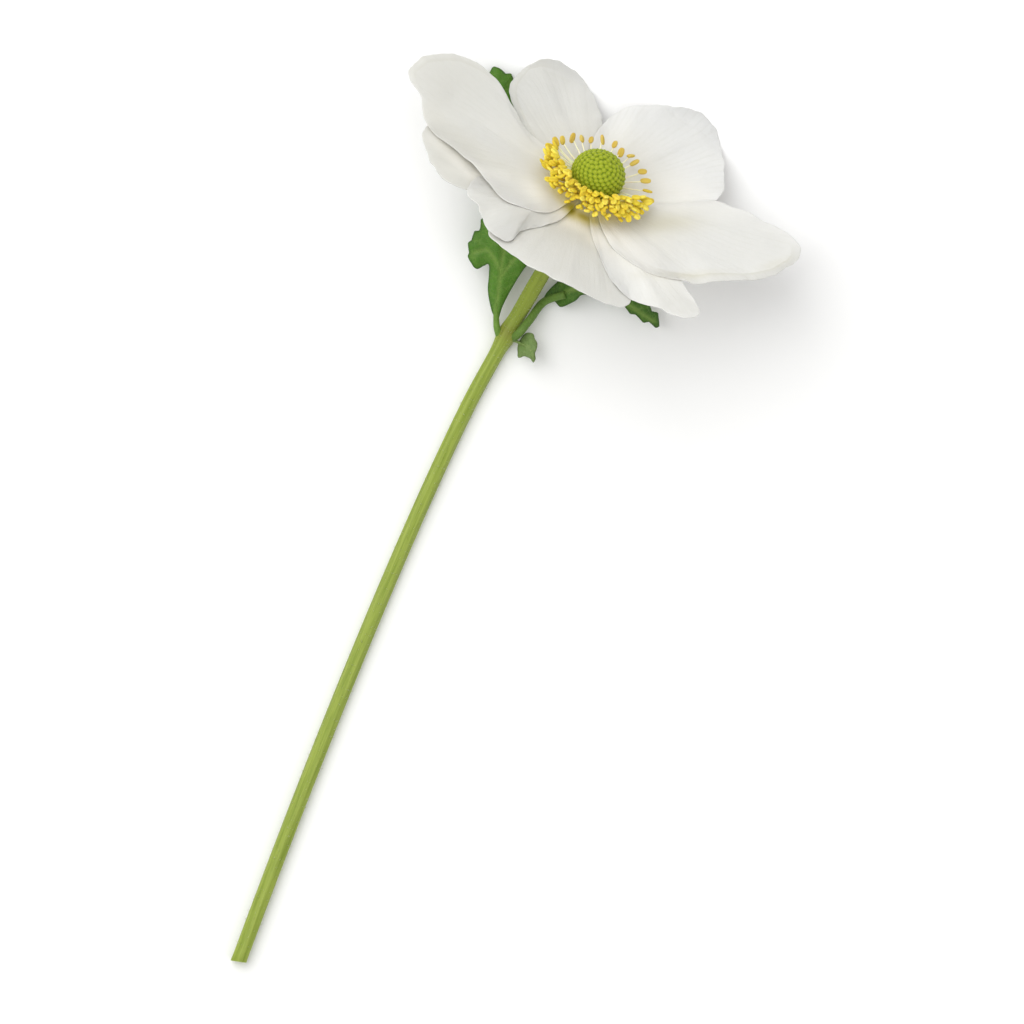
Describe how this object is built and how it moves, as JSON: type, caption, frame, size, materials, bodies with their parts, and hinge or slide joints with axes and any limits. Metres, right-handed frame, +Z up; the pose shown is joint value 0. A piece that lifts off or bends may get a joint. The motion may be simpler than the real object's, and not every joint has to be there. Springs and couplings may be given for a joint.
{
  "type": "japanese anemone flower",
  "caption": "Open white flower with a green carpel head, golden stamens, toothed bracts and a cut stem, lying on a surface as picked.",
  "frame": {"origin": "on the surface it lies on, under the middle of the flower's whole outline seen from above", "axes": "+Z up from the surface; +Y along the stem from its cut end to the flower; +X to the right with the flower at the top, seen from above"},
  "size_m": [0.0749, 0.1684, 0.0401],
  "materials": {
    "tepal": "satin",
    "carpel": "matte",
    "stamen": "matte",
    "stalk": "satin",
    "bract": "satin"
  },
  "bodies": {
    "root": {"tepal_left": "tepal", "tepal_right": "tepal", "tepal_front_left": "tepal", "tepal_front_right": "tepal", "tepal_back_right": "tepal", "tepal_back_left": "tepal", "tepal_lower_left": "tepal", "tepal_front": "tepal", "carpel_head": "carpel", "stamens": "stamen", "stalk": "stalk", "bract_left": "bract", "bract_right": "bract", "bract_small": "bract"}
  },
  "joints": []
}
